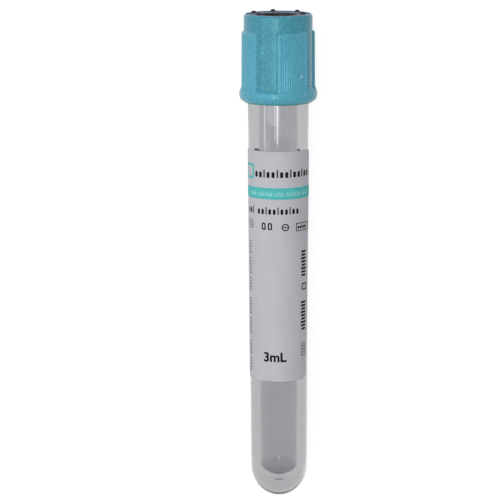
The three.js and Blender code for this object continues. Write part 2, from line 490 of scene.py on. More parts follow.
class Recipe(Wiring):
    """The nodes of one material, with coordinates in upright millimetres."""

    def __init__(self, name: str, resting: Resting) -> None:
        """Start from a plain Principled material.

        Args:
            name: Name of the material.
            resting: Where the tube lies.
        """
        self.material = bpy.data.materials.new(name)
        self.material.use_nodes = True
        super().__init__(self.material.node_tree)
        self.surface = self.tree.nodes["Principled BSDF"]
        mapping = self.node(
            "ShaderNodeMapping",
            {"vector_type": "TEXTURE"},
            {
                "Vector": self.node("ShaderNodeTexCoord").outputs["Object"],
                "Location": tuple(resting.origin),
                "Rotation": tuple(resting.turn.to_euler("XYZ")),
                "Scale": (MM, MM, MM),
            },
        )
        self.upright = mapping.outputs["Vector"]
        parts = self.node("ShaderNodeSeparateXYZ", sockets={0: self.upright})
        self.right, self.back, self.height = (Signal(self, parts.outputs[axis]) for axis in "XYZ")

    def finish(self, **sockets: object) -> None:
        """Set inputs of the surface shader, with underscores for the spaces in their names."""
        for name, value in sockets.items():
            self.feed(self.surface.inputs[name.replace("_", " ")], value)

    def noise(self, across: float, along: float, detail: float = 3.0) -> Signal:
        """Smooth noise, from 0 to 1.

        Args:
            across: Features to a millimetre across the tube.
            along: Features to a millimetre along it.
            detail: Octaves of finer noise.

        Returns:
            The noise.
        """
        scaled = self.node(
            "ShaderNodeVectorMath",
            {"operation": "MULTIPLY"},
            {0: self.upright, 1: (across, across, along)},
        )
        node = self.node(
            "ShaderNodeTexNoise",
            sockets={"Vector": scaled.outputs[0], "Scale": 1.0, "Detail": detail},
        )
        return Signal(self, node.outputs["Fac"])

    def blend(self, factor: Signal | float, low: object, high: object) -> NodeSocket:
        """Mix two colours."""
        node = self.node("ShaderNodeMix", {"data_type": "RGBA"}, {0: factor, 6: low, 7: high})
        return node.outputs[2]

    def bump(self, height: Signal, depth: float) -> NodeSocket:
        """Tilt the surface by a height field whose full depth is in millimetres."""
        node = self.node("ShaderNodeBump", sockets={"Distance": depth * MM, "Height": height})
        return node.outputs["Normal"]

    def axis_distance(self) -> Signal:
        """Distance from the tube's axis, in millimetres."""
        return (self.right * self.right + self.back * self.back).root()


# ------------------------------------------------------------------ finishes


@dataclass(frozen=True)
class ClearPlastic:
    """Clear moulded plastic, faintly grey, with drawn lines along the tube, and painted shade that
    tints it darker towards the foot and on the bore's floor.
    """

    name: str = "clear_plastic"
    wall: Colour = (0.435, 0.438, 0.45, 1.0)
    # painted shade: the wall's tint darkens towards the foot
    wall_foot_shade: Colour = (0.405, 0.403, 0.42, 1.0)
    bore: Colour = (0.74, 0.745, 0.775, 1.0)
    bore_streak: Colour = (0.84, 0.845, 0.87, 1.0)
    bore_foot: Colour = (0.75, 0.75, 0.76, 1.0)
    # painted shade: dark tint on the bore's floor and its rounded corner
    bore_floor_shade: Colour = (0.42, 0.42, 0.44, 1.0)
    gate: Colour = (0.12, 0.12, 0.24, 1.0)
    foot_fade: Pair = (60.0, 20.0)
    floor_shade_fade: Pair = (8.3, 6.6)
    bore_edge: Pair = (5.2, 5.0)
    bore_start: Pair = (3.0, 3.5)
    gate_spread: Pair = (1.9, 1.2)
    gate_rise: Pair = (1.5, 1.0)
    ior: float = 1.57
    roughness: float = 0.04
    line_depth: float = 0.0035

    def material(self, resting: Resting) -> Material:
        """Write the material.

        Args:
            resting: Where the tube lies.

        Returns:
            The material.
        """
        recipe = Recipe(self.name, resting)
        lines = recipe.noise(1.4, 0.006, detail=2.0)
        streaks = recipe.noise(1.1, 0.006, detail=2.0)
        low = recipe.height.step(*self.foot_fade)
        # painted shade: mask of the bore's floor, which takes the dark tint
        floor_shade_mask = recipe.height.step(*self.floor_shade_fade)
        bore_low_shaded = recipe.blend(floor_shade_mask, self.bore_foot, self.bore_floor_shade)
        bore = recipe.blend(streaks.step(0.35, 0.7), self.bore, self.bore_streak)
        bore = recipe.blend(low, bore, bore_low_shaded)
        # painted shade: darker wall tint towards the foot
        wall = recipe.blend(low, self.wall, self.wall_foot_shade)
        radius = recipe.axis_distance()
        in_bore = radius.step(*self.bore_edge) * recipe.height.step(*self.bore_start)
        at_gate = radius.step(*self.gate_spread) * recipe.height.step(*self.gate_rise)
        tone = recipe.blend(in_bore, wall, bore)
        recipe.finish(
            Base_Color=recipe.blend(at_gate, tone, self.gate),
            Transmission_Weight=1.0,
            IOR=self.ior,
            Roughness=self.roughness,
            Normal=recipe.bump(lines, self.line_depth),
        )
        return recipe.material


@dataclass(frozen=True)
class Scuff:
    """A pale rubbed spot on a round wall.

    Args:
        angle: Degrees from the front towards the right.
        height: Height of its middle.
        radius: Radius of the wall.
        size: Half its width and half its height.
        share: How far it hides the colour below.
    """

    angle: float
    height: float
    radius: float
    size: Pair
    share: float

    def mask(self, recipe: Recipe) -> Signal:
        """Soft mask of the spot, strongest in its middle.

        Args:
            recipe: The nodes to add to.

        Returns:
            The mask.
        """
        right = self.radius * math.sin(math.radians(self.angle))
        back = -self.radius * math.cos(math.radians(self.angle))
        offset = (recipe.right - right) ** 2.0 + (recipe.back - back) ** 2.0
        across = offset * (1.0 / self.size[0] ** 2)
        along = ((recipe.height - self.height) * (1.0 / self.size[1])) ** 2.0
        return (across + along).step(1.0, 0.3) * self.share


@dataclass(frozen=True)
class CapPlastic:
    """Satin moulded plastic of the cap, finely mottled and a little scuffed by handling, with
    painted light that makes the proud pads and flange paler than the neck.
    """

    name: str = "cap_plastic"
    body: Colour = paint(74, 150, 172)
    shade: Colour = paint(65, 140, 158)
    # painted light: paler tone for the proud pads and flange, which are the same plastic as the
    # neck
    raised_lit: Colour = paint(90, 172, 196)
    speck: Colour = paint(108, 186, 208)
    fleck: Colour = paint(48, 122, 146)
    lip: Colour = paint(62, 160, 146)
    scuff: Colour = paint(170, 226, 232)
    # painted light: radii over which the proud surfaces turn paler
    proud_lit_edge: Pair = (7.5, 7.8)
    lip_edge: Pair = (88.9, 88.78)
    scuffs: tuple[Scuff, ...] = (
        Scuff(38.5, 94.6, 7.9, (0.32, 0.5), 1.0),
        Scuff(43.0, 90.7, 8.4, (0.26, 0.32), 0.7),
        Scuff(-7.4, 90.2, 8.35, (0.26, 0.5), 0.55),
    )
    sheen_tint: Colour = (0.5, 0.94, 1.0, 1.0)
    grain_depth: float = 0.008

    def material(self, resting: Resting) -> Material:
        """Write the material.

        Args:
            resting: Where the tube lies.

        Returns:
            The material.
        """
        recipe = Recipe(self.name, resting)
        cloud = recipe.noise(0.45, 0.3, detail=4.0)
        drag = recipe.noise(2.4, 0.25, detail=3.0)
        grain = recipe.noise(7.0, 7.0, detail=2.0)
        mottle = recipe.noise(2.8, 2.8, detail=2.0)
        tone = recipe.blend((cloud * 0.6 + drag * 0.4).step(0.35, 0.66), self.shade, self.body)
        # painted light: proud pads and flange painted paler than the neck
        proud_lit = recipe.axis_distance().step(*self.proud_lit_edge)
        tone = recipe.blend(proud_lit * (0.55 + cloud * 0.5), tone, self.raised_lit)
        tone = recipe.blend(recipe.height.step(*self.lip_edge) * 0.8, tone, self.lip)
        tone = recipe.blend(mottle.step(0.54, 0.7) * 0.5, tone, self.speck)
        tone = recipe.blend(mottle.step(0.46, 0.3) * 0.5, tone, self.fleck)
        rubbed, *others = (scuff.mask(recipe) for scuff in self.scuffs)
        for other in others:
            rubbed = rubbed.over(other)
        recipe.finish(
            Base_Color=recipe.blend(rubbed * (0.55 + grain * 0.5), tone, self.scuff),
            Roughness=0.2 + drag * 0.08,
            Specular_IOR_Level=0.42,
            Specular_Tint=self.sheen_tint,
            Normal=recipe.bump(grain * 0.5 + drag * 0.5, self.grain_depth),
        )
        return recipe.material


@dataclass(frozen=True)
class StopperRubber:
    """Dark rubber, pale on the top of its rim with dust and a painted sheen, and brown in its
    recess.
    """

    name: str = "stopper_rubber"
    body: Colour = paint(22, 22, 25)
    # dust on the rim's top, together with a painted sheen in the same colour
    dust_and_sheen: Colour = paint(134, 136, 160)
    recess: Colour = paint(52, 48, 34)
    top: float = 107.43
    rim_edge: Pair = (4.0, 4.45)
    grain_depth: float = 0.05

    def material(self, resting: Resting) -> Material:
        """Write the material.

        Args:
            resting: Where the tube lies.

        Returns:
            The material.
        """
        recipe = Recipe(self.name, resting)
        patches = recipe.noise(1.1, 1.1, detail=4.0)
        grain = recipe.noise(6.0, 6.0, detail=3.0)
        outside = recipe.axis_distance().step(*self.rim_edge)
        on_top = recipe.height.step(self.top - 0.35, self.top - 0.1)
        off_nubs = recipe.height.step(self.top + 0.3, self.top + 0.08)
        # pale rim top: dust and painted sheen, kept off the nubs
        dust_and_sheen_mask = outside * on_top * off_nubs * (0.55 + patches.step(0.35, 0.7) * 0.45)
        inside = (1.0 - outside) * recipe.height.step(self.top - 5.2, self.top - 4.2)
        tone = recipe.blend(inside * patches.step(0.3, 0.6), self.body, self.recess)
        recipe.finish(
            Base_Color=recipe.blend(dust_and_sheen_mask, tone, self.dust_and_sheen),
            Roughness=0.55 + grain * 0.3,
            Specular_IOR_Level=0.4,
            Normal=recipe.bump(grain * 0.6 + patches * 0.4, self.grain_depth),
        )
        return recipe.material


@dataclass(frozen=True)
class LabelFilm:
    """Satin film of the label, pale lavender grey, with the calm unevenness of a wrap."""

    name: str = "label_film"
    face: Colour = paint(196, 196, 203)
    cloud: Colour = paint(190, 190, 198)
    adhesive: Colour = paint(244, 244, 246)
    taper: float = 0.00484
    back_edge: Pair = (6.275, 6.235)
    roughness: float = 0.52
    wave_depth: float = 0.04

    def material(self, resting: Resting) -> Material:
        """Write the material.

        Args:
            resting: Where the tube lies.

        Returns:
            The material.
        """
        recipe = Recipe(self.name, resting)
        cloud = recipe.noise(0.35, 0.12, detail=4.0)
        fibre = recipe.noise(5.0, 5.0, detail=2.0)
        wave = recipe.noise(0.3, 0.05, detail=1.0)
        tone = recipe.blend((cloud * 0.75 + fibre * 0.25).step(0.3, 0.7), self.cloud, self.face)
        behind = (recipe.axis_distance() - recipe.height * self.taper).step(*self.back_edge)
        recipe.finish(
            Base_Color=recipe.blend(behind, tone, self.adhesive),
            Roughness=self.roughness + fibre * 0.1,
            Specular_IOR_Level=0.35,
            Normal=recipe.bump(wave * 0.8 + fibre * 0.05, self.wave_depth),
        )
        return recipe.material


class InkTone(Enum):
    """The inks the label is printed with."""

    BLACK = paint(5, 5, 8)
    GREY = paint(118, 118, 126)
    TEAL = paint(84, 186, 186)
    PALE = paint(146, 210, 212)


@dataclass(frozen=True)
class Ink:
    """One printing ink, a little uneven where it was laid down.

    Args:
        tone: Which ink.
    """

    tone: InkTone
    thin_gain: float = 1.12
    thin_lift: float = 0.006
    patch_depth: float = 0.004

    def material(self, resting: Resting) -> Material:
        """Write the material.

        Args:
            resting: Where the tube lies.

        Returns:
            The material.
        """
        recipe = Recipe(f"ink_{self.tone.name.lower()}", resting)
        patches = recipe.noise(2.2, 2.2, detail=4.0)
        thin = [min(1.0, level * self.thin_gain + self.thin_lift) for level in self.tone.value[:3]]
        recipe.finish(
            Base_Color=recipe.blend(patches.step(0.35, 0.7), self.tone.value, (*thin, 1.0)),
            Roughness=0.5 + patches * 0.1,
            Specular_IOR_Level=0.08,
            Normal=recipe.bump(patches, self.patch_depth),
        )
        return recipe.material


# ------------------------------------------------------------------ the tube


@dataclass
class Tube:
    """Thick-walled moulded tube with a round bottom, open at the mouth."""

    length: float = 100.0
    mouth_radius: float = 6.65
    base_radius: float = 6.2
    dome_height: float = 7.0
    bore_mouth_radius: float = 4.325
    bore_base_radius: float = 4.0
    floor_thickness: float = 4.25
    bore_corner: float = 3.4
    lip_radius: float = 0.35
    gate_radius: float = 0.9
    gate_depth: float = 0.25
    gate_shares: tuple[Pair, ...] = ((0.0, 0.0), (0.55, 0.0), (0.78, 0.35), (0.92, 0.85))
    rows: tuple[float, ...] = (20.0, 40.0, 60.0, 80.0)  # heights of the wall's points
    sides: int = 192

    def wall_radius(self, height: float) -> float:
        """Outer radius of the tapered wall at a height."""
        share = (height - self.dome_height) / (self.length - self.dome_height)
        return self.base_radius + (self.mouth_radius - self.base_radius) * share

    def bore_radius(self, height: float) -> float:
        """Radius of the bore at a height."""
        share = (height - self.floor_thickness) / (self.length - self.floor_thickness)
        return self.bore_base_radius + (self.bore_mouth_radius - self.bore_base_radius) * share

    def outline(self) -> Outline:
        """Outline from the outer pole, over the mouth and down the bore to the inner pole.

        Returns:
            Its points.
        """
        gate_angle = math.asin(self.gate_radius / self.base_radius)
        gate_edge = self.dome_height * (1.0 - math.cos(gate_angle))
        gate_top = gate_edge + self.gate_depth
        dome = (0.0, self.dome_height)
        lip = self.lip_radius
        rim = self.length - lip
        corner_top = self.floor_thickness + self.bore_corner
        corner = (self.bore_radius(corner_top) - self.bore_corner, corner_top)
        gate_start = math.degrees(gate_angle) - 90.0
        return [
            *[
                (self.gate_radius * out, gate_top - self.gate_depth * down)
                for out, down in self.gate_shares
            ],
            *arc(dome, self.base_radius, self.dome_height, gate_start, 0.0, 26),
            *[(self.wall_radius(row), row) for row in self.rows],
            *arc((self.mouth_radius - lip, rim), lip, lip, 0.0, 90.0, 5),
            *arc((self.bore_mouth_radius + lip, rim), lip, lip, 90.0, 180.0, 5),
            *[(self.bore_radius(row), row) for row in reversed(self.rows)],
            *arc(corner, self.bore_corner, self.bore_corner, 0.0, -90.0, 14),
            (corner[0] * 0.5, self.floor_thickness),
            (0.0, self.floor_thickness),
        ]

    def build(self, resting: Resting) -> Object:
        """Model, place and register the tube.

        Args:
            resting: Where the tube lies.

        Returns:
            The finished object.
        """
        piece = Workpiece.turned("clear_tube", self.outline(), self.sides)
        piece.smooth(40.0)
        tube = piece.lay(resting.matrix, ClearPlastic().material(resting))
        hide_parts("tube")
        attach(tube, "tube")
        LOG.info("clear tube: %d faces", len(tube.data.polygons))
        return tube


# ------------------------------------------------------------------ the cap


@dataclass
class Cap:
    """Push-on cap: a plain neck, four ribbed grip pads, and a flange round the foot."""

    foot: float = 88.5
    top: float = 107.6
    bore_radius: float = 6.9
    neck_radius: float = 7.45
    neck_height: float = 3.5
    neck_edge: Pair = (0.5, 0.8)
    lip_height: float = 0.25
    lip_step: float = 0.02
    mouth_edge: float = 0.05
    flange_radius: float = 8.48
    flange_top: float = 91.3
    shoulder: Pair = (0.48, 0.95)
    shoulder_end: float = 66.0
    flange_foot: Pair = (0.95, 1.45)
    flange_foot_start: float = -80.0
    bead_foot: float = 102.2
    bead_height: float = 1.4
    bead_proud: float = 0.35
    edge: float = 0.08
    sides: int = 600
    pads: int = 4
    first_pad_angle: float = 25.6
    pad_angle: float = 58.7
    pad_proud: float = 0.46
    pad_draft: float = 0.06
    pad_edge_angle: float = 3.0
    pad_edge_height: float = 0.5
    border_angle: float = 8.0
    border_height: float = 0.65
    border_slope: float = 1.2
    ribs: int = 11
    rib_depth: float = 0.09
    rib_drop: float = 0.07
    rib_fade: float = 0.3
    cove_height: float = 0.9
    flare: float = 0.22
    nick_angle: float = 84.0
    nick_spread: float = 3.2
    nick_height: float = 0.45
    nick_depth: float = 0.3
    nick_reach: float = 0.4
    slack: float = 0.01  # lets a test by place take in the points on its limit

    @property
    def pad_top(self) -> float:
        """Height where the pads end."""
        return self.top - self.neck_height

    @property
    def rib_top(self) -> float:
        """Height where the ribs end, under the smooth strip along a pad's top."""
        return self.pad_top - self.border_height

    def grip_rows(self) -> list[float]:
        """Heights of the rows of points that the pads are shaped from.

        Returns:
            The heights, from the lowest up.
        """
        ribs = [self.rib_top - self.rib_fade, self.rib_top - self.rib_fade / 2, self.rib_top]
        shares = (1.0, 0.8, 0.6, 0.4, 0.2, 0.0)
        rounding = [self.pad_top - self.pad_edge_height * share for share in shares]
        return [*ribs, *rounding]

    def cove(self) -> Outline:
        """Points of the soft hollow that joins the flange to the wall above it.

        Returns:
            The points, from the lowest up.
        """
        radius, height = self.shoulder_arc()[-1]
        wide = radius - self.neck_radius
        return arc((radius, height + self.cove_height), wide, self.cove_height, 270.0, 180.0, 8)

    def shoulder_arc(self) -> Outline:
        """Points of the flange's rounded upper edge, from its widest part up.

        Returns:
            The points.
        """
        wide, high = self.shoulder
        centre = (self.flange_radius - wide, self.flange_top - high)
        return arc(centre, wide, high, 0.0, self.shoulder_end, 6)

    def outline(self) -> Outline:
        """Closed outline of the cap without its pads.

        Returns:
            Its points.
        """
        edge = self.edge
        wide, high = self.flange_foot
        skirt = self.foot + self.lip_height
        foot_centre = (self.flange_radius - wide, skirt + high)
        neck_wide, neck_high = self.neck_edge
        neck_centre = (self.neck_radius - neck_wide, self.top - neck_high)
        bead_top = self.bead_foot + self.bead_height
        bead_radius = self.bore_radius - self.bead_proud
        return [
            (self.bore_radius + edge, self.foot),
            (self.neck_radius - edge, self.foot),
            (self.neck_radius, self.foot + edge),
            (self.neck_radius, skirt - self.lip_step),
            *arc(foot_centre, wide, high, self.flange_foot_start, 0.0, 9),
            *self.shoulder_arc(),
            *self.cove()[1:],
            *[(self.neck_radius, row) for row in self.grip_rows()],
            *arc(neck_centre, neck_wide, neck_high, 0.0, 90.0, 8),
            (self.bore_radius, self.top - self.mouth_edge),
            (self.bore_radius, bead_top),
            (bead_radius, bead_top - self.bead_proud),
            (bead_radius, self.bead_foot + self.bead_proud),
            (self.bore_radius, self.bead_foot),
            (self.bore_radius, self.foot + edge),
            (self.bore_radius + edge, self.foot),
        ]

    def rib_groove(self, angle: float) -> float:
        """Work out how deep the grooves between the ribs are.

        Args:
            angle: Degrees from the pad's middle.

        Returns:
            The depth, from 0 on a crest to 1.
        """
        ribbed = self.pad_angle / 2 - self.border_angle
        if abs(angle) > ribbed + self.slack:
            return 0.0
        phase = (angle + ribbed) / (2.0 * ribbed) * self.ribs
        return 0.5 + 0.5 * math.cos(math.tau * phase)

    def pad_reach(self, point: Vector) -> float | None:
        """Give how far a point of the neck moves out to form a pad.

        Args:
            point: Place of the point, with a pad's middle at the front.

        Returns:
            The distance, or None for a point of another part of the cap.
        """
        if not self.shoulder_arc()[-1][1] < point.z < self.pad_top + self.slack:
            return None
        standing = point.xy.length - self.neck_radius
        if not -self.slack < standing < self.flange_radius - self.neck_radius:
            return None
        spacing = 360.0 / self.pads
        around = math.degrees(math.atan2(point.x, -point.y))
        angle = (around + spacing / 2) % spacing - spacing / 2
        side = soft_ramp(self.pad_angle / 2 - abs(angle), self.pad_edge_angle)
        crown = soft_ramp(self.pad_top - point.z, self.pad_edge_height)
        depth = (self.pad_top - point.z) / (self.pad_top - self.flange_top)
        spread = self.flare * (1.0 - soft_ramp(point.z - self.flange_top, self.cove_height))
        reach = (self.pad_proud + self.pad_draft * depth + spread) * side * crown
        fade = soft_ramp(self.rib_top - point.z, self.rib_fade)
        inside = self.pad_angle / 2 - self.border_angle - abs(angle)
        drop = self.rib_drop * soft_ramp(inside + self.border_slope / 2, self.border_slope)
        reach -= fade * (drop + self.rib_depth * self.rib_groove(angle))
        return max(reach - max(standing, 0.0), 0.0)

    def nick(self, point: Vector) -> float | None:
        """Give how far a point moves in to form the nick in the flange's upper edge.

        Args:
            point: Place of the point, with a pad's middle at the front.

        Returns:
            The distance, less than 0, or None for a point away from the nick.
        """
        around = math.degrees(math.atan2(point.x, -point.y)) + self.first_pad_angle
        aside = abs(around - self.nick_angle)
        if aside > self.nick_spread or point.xy.length < self.flange_radius - self.nick_reach:
            return None
        if not self.flange_top - self.nick_height < point.z < self.flange_top + self.slack:
            return None
        return -self.nick_depth * (1.0 - aside / self.nick_spread)

    def build(self, resting: Resting) -> Object:
        """Model, place and register the cap.

        Args:
            resting: Where the tube lies.

        Returns:
            The finished object.
        """
        piece = Workpiece.turned("cap_shell", self.outline(), self.sides)
        piece.swell(self.pad_reach)
        piece.swell(self.nick)
        piece.smooth(32.0)
        turned = resting.matrix @ Matrix.Rotation(math.radians(self.first_pad_angle), 4, "Z")
        cap = piece.lay(turned, CapPlastic().material(resting))
        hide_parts("cap")
        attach(cap, "closure")
        LOG.info("cap: %d faces", len(cap.data.polygons))
        return cap


# ------------------------------------------------------------------ the stopper


@dataclass
class Stopper:
    """Rubber stopper: a head with a needle recess and nubs, and a hollow plug below."""

    head_top: float = 107.43
    head_foot: float = 100.05
    head_radius: float = 6.8
    groove_radius: float = 6.4
    groove: Pair = (101.9, 103.9)
    recess_radius: float = 4.1
    recess_depth: float = 4.48
    plug_foot: float = 92.0
    plug_radius: float = 4.238
    plug_recess_radius: float = 2.3
    plug_recess_depth: float = 7.2
    plug_edge: float = 0.5
    plug_chamfer: float = 0.2
    floor_edge: float = 0.4
    floor_mound: tuple[Pair, ...] = ((1.2, 0.0), (0.9, 0.12), (0.0, 0.15))
    edge: float = 0.3
    sides: int = 128
    nubs: int = 6
    nub_radius: float = 0.575
    nub_height: float = 0.65
    nub_root: float = 0.4
    nub_dome: float = 0.6
    nub_sides: int = 24
    nub_circle_radius: float = 5.55
    first_nub_angle: float = 11.0

    @property
    def seat_height(self) -> float:
        """Height of the floor of the needle recess."""
        return self.head_top - self.recess_depth

    def outline(self) -> Outline:
        """Outline from the roof of the plug's hollow round to the floor of the recess.

        Returns:
            Its points.
        """
        edge = self.edge
        hollow_top = self.plug_foot + self.plug_recess_depth
        groove_low, groove_high = self.groove
        rim = self.head_top - edge
        floor = self.seat_height
        low = self.floor_edge
        soft = self.plug_edge
        return [
            (0.0, hollow_top),
            *arc((self.plug_recess_radius - soft, hollow_top - soft), soft, soft, 90.0, 0.0, 4),
            (self.plug_recess_radius, self.plug_foot + self.plug_chamfer),
            (self.plug_recess_radius + self.plug_chamfer, self.plug_foot),
            *arc((self.plug_radius - soft, self.plug_foot + soft), soft, soft, -90.0, 0.0, 5),
            (self.plug_radius, self.head_foot),
            (self.head_radius - edge, self.head_foot),
            *arc((self.head_radius - edge, self.head_foot + edge), edge, edge, -60.0, 0.0, 3),
            (self.head_radius, groove_low),
            (self.groove_radius, groove_low),
            (self.groove_radius, groove_high),
            (self.head_radius, groove_high),
            *arc((self.head_radius - edge, rim), edge, edge, 0.0, 90.0, 6),
            *arc((self.recess_radius + edge, rim), edge, edge, 90.0, 180.0, 6),
            (self.recess_radius, floor + low),
            *arc((self.recess_radius - low, floor + low), low, low, 0.0, -90.0, 4),
            *[(radius, floor + rise) for radius, rise in self.floor_mound],
        ]

    def nub(self, number: int) -> Workpiece:
        """Model one of the nubs that stand on the head.

        Args:
            number: Its place in the ring, from 0.

        Returns:
            The nub, rooted a little way in the head.
        """
        dome = self.nub_height * self.nub_dome
        shoulder = (0.0, self.nub_height - dome)
        outline = [
            (0.0, -self.nub_root),
            (self.nub_radius, -self.nub_root),
            *arc(shoulder, self.nub_radius, dome, 0.0, 90.0, 6),
        ]
        nub = Workpiece.turned(f"nub_{number}", outline, self.nub_sides)
        angle = math.radians(self.first_nub_angle + 360.0 / self.nubs * number)
        right = self.nub_circle_radius * math.sin(angle)
        back = -self.nub_circle_radius * math.cos(angle)
        nub.thing.data.transform(Matrix.Translation((right, back, self.head_top)))
        return nub

    def build(self, resting: Resting) -> Object:
        """Model, place and register the stopper.

        Args:
            resting: Where the tube lies.

        Returns:
            The finished object.
        """
        piece = Workpiece.turned("rubber_stopper", self.outline(), self.sides)
        for number in range(self.nubs):
            nub = self.nub(number)
            piece.modify("BOOLEAN", operation="UNION", solver="EXACT", object=nub.thing)
            bpy.data.objects.remove(nub.thing)
        piece.smooth(35.0)
        stopper = piece.lay(resting.matrix, StopperRubber().material(resting))
        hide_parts("stopper")
        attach(stopper, "closure")
        LOG.info("stopper: %d faces", len(stopper.data.polygons))
        return stopper


# ------------------------------------------------------------------ the label


@dataclass
class Wrap:
    """The way a flat sheet is rolled on the tube.

    On the flat sheet X runs to the right along the wall from the front, Z is the height,
    and -Y stands out from the sheet.
    """

    tube: Tube
    gap: float = 0.04

    def radius(self, height: float) -> float:
        """Radius of the sheet's back at a height."""
        return self.tube.wall_radius(height) + self.gap

    def across(self, degrees: float, height: float) -> float:
        """Distance along the sheet from the front to an angle."""
        return math.radians(degrees) * self.radius(height)

    def roll(self, point: Vector) -> Vector:
        """Give the place on the tube of a point on the flat sheet.

        Args:
            point: The point on the sheet.

        Returns:
            Its place on the upright tube.
        """
        back = self.radius(point.z)
        angle = point.x / back
        radius = back - point.y
        return Vector((radius * math.sin(angle), -radius * math.cos(angle), point.z))


@dataclass
class Label:
    """Label round the front half of the tube, whose back stays bare to show the level."""

    wrap: Wrap
    foot: float = 27.5
    top: float = 78.4
    thickness: float = 0.1
    edge_angle_top: float = 85.0
    edge_angle_foot: float = 66.0
    far_angle: float = -100.4
    corner_radius: float = 1.6
    column: float = 0.35

    def columns(self, first: float, last: float) -> list[float]:
        """Places of the cuts that let a stretch of the sheet bend."""
        count = max(int((last - first) / self.column), 1)
        return [first + (last - first) * step / count for step in range(1, count)]

    def build(self, resting: Resting) -> Object:
        """Model, place and register the label.

        Args:
            resting: Where the tube lies.

        Returns:
            The finished object.
        """
        piece = Workpiece(
            lambda: bpy.ops.mesh.primitive_plane_add(size=1.0, rotation=UPRIGHT), "wrap_label"
        )
        bpy.ops.object.transform_apply(rotation=True)
        ends = {
            self.foot: (self.far_angle, self.edge_angle_foot),
            self.top: (self.far_angle, self.edge_angle_top),
        }
        for point in piece.thing.data.vertices:
            height = self.top if point.co.z > 0 else self.foot
            point.co = (self.wrap.across(ends[height][point.co.x > 0], height), 0.0, height)
        with piece.editing():
            bpy.ops.mesh.select_all(action="SELECT")
            bpy.ops.mesh.bevel(offset=self.corner_radius, segments=8, affect="VERTICES")
        first, last = (self.wrap.across(angle, self.top) for angle in ends[self.top])
        piece.slice_across(self.columns(first, last))
        piece.modify("SOLIDIFY", thickness=self.thickness, offset=1.0)
        piece.reshape(self.wrap.roll)
        piece.smooth(40.0)
        label = piece.lay(resting.matrix, LabelFilm().material(resting))
        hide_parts("label")
        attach(label, "tube")
        LOG.info("label: %d faces", len(label.data.polygons))
        return label


class InkSheet:
    """Everything printed on the label in one ink, drawn flat and then rolled with it."""

    thickness = 0.02
    corner_steps = 3
    ring_sides = 28
    type_steps = 6

    def __init__(self, tone: InkTone, label: Label) -> None:
        """Start a sheet with nothing on it.

        Args:
            tone: The ink.
            label: The label it is printed on.
        """
        self.tone = tone
        self.label = label
        self.piece: Workpiece | None = None

    def _shape(self, add: Callable[[], object], work: Callable[[], object]) -> None:
        """Add a primitive to the sheet and work on it alone.

        Args:
            add: Operator that adds it, selected.
            work: What is then done to it.
        """
        if self.piece is None:
            name = f"label_print_{self.tone.name.lower()}"
            self.piece = Workpiece(lambda: bpy.ops.mesh.primitive_plane_add(size=1.0), name)
            with self.piece.editing():
                bpy.ops.mesh.select_all(action="SELECT")
                bpy.ops.mesh.delete(type="VERT")
        with self.piece.editing(SelectMode.FACES):
            bpy.ops.mesh.select_all(action="DESELECT")
            add()
            work()

    def block(
        self,
        right: float,
        height: float,
        size: Pair,
        rounding: float = 0.0,
        stroke: float = 0.0,
    ) -> None:
        """Print a block, or the outline of one.

        Args:
            right: Middle of the block along the sheet.
            height: Middle of the block's height.
            size: Its width and height.
            rounding: How far its corners are cut round.
            stroke: Width of the line if only the outline is printed.
        """
        centre = (right, 0.0, height)

        def work() -> None:
            """Give the new square its size, corners and outline."""
            bpy.ops.transform.resize(value=(size[0], 1.0, size[1]), center_override=centre)
            if rounding:
                bpy.ops.mesh.bevel(
                    offset=rounding, segments=self.corner_steps, affect="VERTICES"
                )
            self._hollow(stroke)

        self._shape(
            lambda: bpy.ops.mesh.primitive_plane_add(size=1.0, location=centre, rotation=UPRIGHT),
            work,
        )

    def ring(self, right: float, height: float, radius: float, stroke: float) -> None:
        """Print a ring.

        Args:
            right: Its middle along the sheet.
            height: Height of its middle.
            radius: Outer radius.
            stroke: Width of the line.
        """
        self._shape(
            lambda: bpy.ops.mesh.primitive_circle_add(
                vertices=self.ring_sides,
                radius=radius,
                fill_type="NGON",
                location=(right, 0.0, height),
                rotation=UPRIGHT,
            ),
            lambda: self._hollow(stroke),
        )

    def _hollow(self, stroke: float) -> None:
        """Leave only the outline of the selected face.

        Args:
            stroke: Width of the line, or 0 to leave the face whole.
        """
        if stroke:
            bpy.ops.mesh.inset(thickness=stroke)
            bpy.ops.mesh.delete(type="FACE")

    def figure(self, words: str, right: float, height: float, size: float, weight: float) -> None:
        """Print plain figures with their unit, in bold upright characters.

        Args:
            words: The figures.
            right: Their middle along the sheet.
            height: Height of their middle.
            size: Size of the type.
            weight: How much bolder its strokes are.
        """
        text = Workpiece(bpy.ops.object.text_add, "figures")
        type_data = text.thing.data
        type_data.body = words
        type_data.size = size
        type_data.offset = weight
        type_data.resolution_u = self.type_steps
        type_data.align_x = "CENTER"
        type_data.align_y = "CENTER"
        bpy.ops.object.convert(target="MESH")
        text.thing = bpy.context.object
        turn = Matrix.Rotation(math.pi / 2, 4, "X")
        text.thing.data.transform(Matrix.Translation((right, 0.0, height)) @ turn)
        self.piece.join([text])

    def build(self, resting: Resting) -> Object:
        """Roll the sheet on the label, place and register it.

        Args:
            resting: Where the tube lies.

        Returns:
            The finished object.
        """
        across = [point.co.x for point in self.piece.thing.data.vertices]
        self.piece.slice_across(self.label.columns(min(across), max(across)))
        self.piece.modify("SOLIDIFY", thickness=self.thickness, offset=1.0)
        lift = Vector((0.0, -self.label.thickness, 0.0))
        self.piece.reshape(lambda point: self.label.wrap.roll(point + lift))
        print_layer = self.piece.lay(resting.matrix, Ink(self.tone).material(resting))
        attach(print_layer, "tube")
        LOG.info("print in %s: %d faces", self.tone.name.lower(), len(print_layer.data.polygons))
        return print_layer


